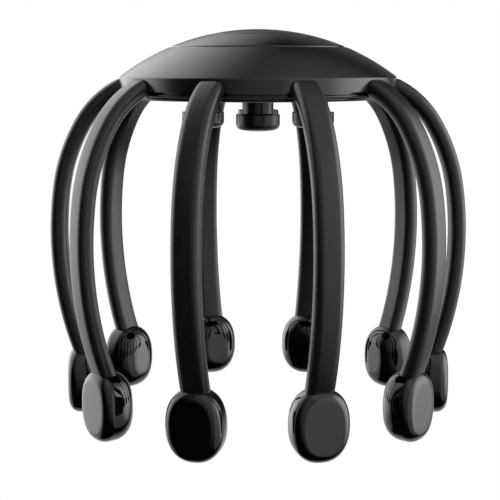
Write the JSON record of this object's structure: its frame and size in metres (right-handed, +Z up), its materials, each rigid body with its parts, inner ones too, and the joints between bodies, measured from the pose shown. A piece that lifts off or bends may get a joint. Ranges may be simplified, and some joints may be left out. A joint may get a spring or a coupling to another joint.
{
  "type": "electric scalp massager",
  "caption": "Hand-held electric scalp massager: a domed hub with a push button on springy curved arms that end in vibrating pods, with soft nubs under the hub.",
  "frame": {"origin": "centre of the floor footprint, on the surface that the pods stand on", "axes": "+Z up along the hub's axis, -Y towards the front (midway between two arms), the charging inlet faces +Y"},
  "size_m": [0.1598, 0.154, 0.1485],
  "materials": {
    "satin_abs": "satin moulded black ABS",
    "gloss_abs": "polished black ABS",
    "button_abs": "satin black ABS",
    "pod_abs": "high gloss black ABS",
    "arm_silicone": "soft-touch black silicone",
    "nub_silicone": "satin black silicone",
    "spring_steel": "blued spring steel",
    "motor_steel": "plated",
    "circuit_board": "solder mask",
    "switch_plastic": "moulded",
    "cell_foil": "pouch foil",
    "port_steel": "nickel plated",
    "screw_steel": "black zinc"
  },
  "bodies": {
    "hub": {"top_cover": "satin_abs", "trim_cap": "gloss_abs", "arm_ring": "satin_abs", "base_cover": "satin_abs", "main_board": "circuit_board", "button_switch": "switch_plastic", "battery": "cell_foil", "charger_board": "circuit_board", "charging_port": "port_steel", "cover_screws": "screw_steel", "nub_front": "nub_silicone", "nub_right": "nub_silicone", "nub_back": "nub_silicone", "nub_left": "nub_silicone"},
    "button": {"power_button": "button_abs"},
    "arm_01": {"arm_sleeve_01": "arm_silicone", "arm_spring_01": "spring_steel", "pod_01": "pod_abs", "pod_motor_01": "motor_steel"},
    "arm_02": {"arm_sleeve_02": "arm_silicone", "arm_spring_02": "spring_steel", "pod_02": "pod_abs", "pod_motor_02": "motor_steel"},
    "arm_03": {"arm_sleeve_03": "arm_silicone", "arm_spring_03": "spring_steel", "pod_03": "pod_abs", "pod_motor_03": "motor_steel"},
    "arm_04": {"arm_sleeve_04": "arm_silicone", "arm_spring_04": "spring_steel", "pod_04": "pod_abs", "pod_motor_04": "motor_steel"},
    "arm_05": {"arm_sleeve_05": "arm_silicone", "arm_spring_05": "spring_steel", "pod_05": "pod_abs", "pod_motor_05": "motor_steel"},
    "arm_06": {"arm_sleeve_06": "arm_silicone", "arm_spring_06": "spring_steel", "pod_06": "pod_abs", "pod_motor_06": "motor_steel"},
    "arm_07": {"arm_sleeve_07": "arm_silicone", "arm_spring_07": "spring_steel", "pod_07": "pod_abs", "pod_motor_07": "motor_steel"},
    "arm_08": {"arm_sleeve_08": "arm_silicone", "arm_spring_08": "spring_steel", "pod_08": "pod_abs", "pod_motor_08": "motor_steel"},
    "arm_09": {"arm_sleeve_09": "arm_silicone", "arm_spring_09": "spring_steel", "pod_09": "pod_abs", "pod_motor_09": "motor_steel"},
    "arm_10": {"arm_sleeve_10": "arm_silicone", "arm_spring_10": "spring_steel", "pod_10": "pod_abs", "pod_motor_10": "motor_steel"}
  },
  "joints": [
    {"name": "button_press", "type": "slide", "parent": "hub", "child": "button", "axis": [0, 0, -1], "range_m": [0, 0.0008], "stiffness_N_per_m": 2500},
    {"name": "arm_01_flex", "type": "hinge", "parent": "hub", "child": "arm_01", "pos_m": [0.01619, -0.04983, 0.12676], "axis": [-0.9511, -0.309, 0], "range_deg": [-5, 15], "stiffness_Nm_per_rad": 0.8},
    {"name": "arm_02_flex", "type": "hinge", "parent": "hub", "child": "arm_02", "pos_m": [0.04239, -0.0308, 0.12676], "axis": [-0.5878, -0.809, 0], "range_deg": [-5, 15], "stiffness_Nm_per_rad": 0.8},
    {"name": "arm_03_flex", "type": "hinge", "parent": "hub", "child": "arm_03", "pos_m": [0.0524, 0, 0.12676], "axis": [0, -1, 0], "range_deg": [-5, 15], "stiffness_Nm_per_rad": 0.8},
    {"name": "arm_04_flex", "type": "hinge", "parent": "hub", "child": "arm_04", "pos_m": [0.04239, 0.0308, 0.12676], "axis": [0.5878, -0.809, 0], "range_deg": [-5, 15], "stiffness_Nm_per_rad": 0.8},
    {"name": "arm_05_flex", "type": "hinge", "parent": "hub", "child": "arm_05", "pos_m": [0.01619, 0.04983, 0.12676], "axis": [0.9511, -0.309, 0], "range_deg": [-5, 15], "stiffness_Nm_per_rad": 0.8},
    {"name": "arm_06_flex", "type": "hinge", "parent": "hub", "child": "arm_06", "pos_m": [-0.01619, 0.04983, 0.12676], "axis": [0.9511, 0.309, 0], "range_deg": [-5, 15], "stiffness_Nm_per_rad": 0.8},
    {"name": "arm_07_flex", "type": "hinge", "parent": "hub", "child": "arm_07", "pos_m": [-0.04239, 0.0308, 0.12676], "axis": [0.5878, 0.809, 0], "range_deg": [-5, 15], "stiffness_Nm_per_rad": 0.8},
    {"name": "arm_08_flex", "type": "hinge", "parent": "hub", "child": "arm_08", "pos_m": [-0.0524, 0, 0.12676], "axis": [0, 1, 0], "range_deg": [-5, 15], "stiffness_Nm_per_rad": 0.8},
    {"name": "arm_09_flex", "type": "hinge", "parent": "hub", "child": "arm_09", "pos_m": [-0.04239, -0.0308, 0.12676], "axis": [-0.5878, 0.809, 0], "range_deg": [-5, 15], "stiffness_Nm_per_rad": 0.8},
    {"name": "arm_10_flex", "type": "hinge", "parent": "hub", "child": "arm_10", "pos_m": [-0.01619, -0.04983, 0.12676], "axis": [-0.9511, 0.309, 0], "range_deg": [-5, 15], "stiffness_Nm_per_rad": 0.8}
  ]
}
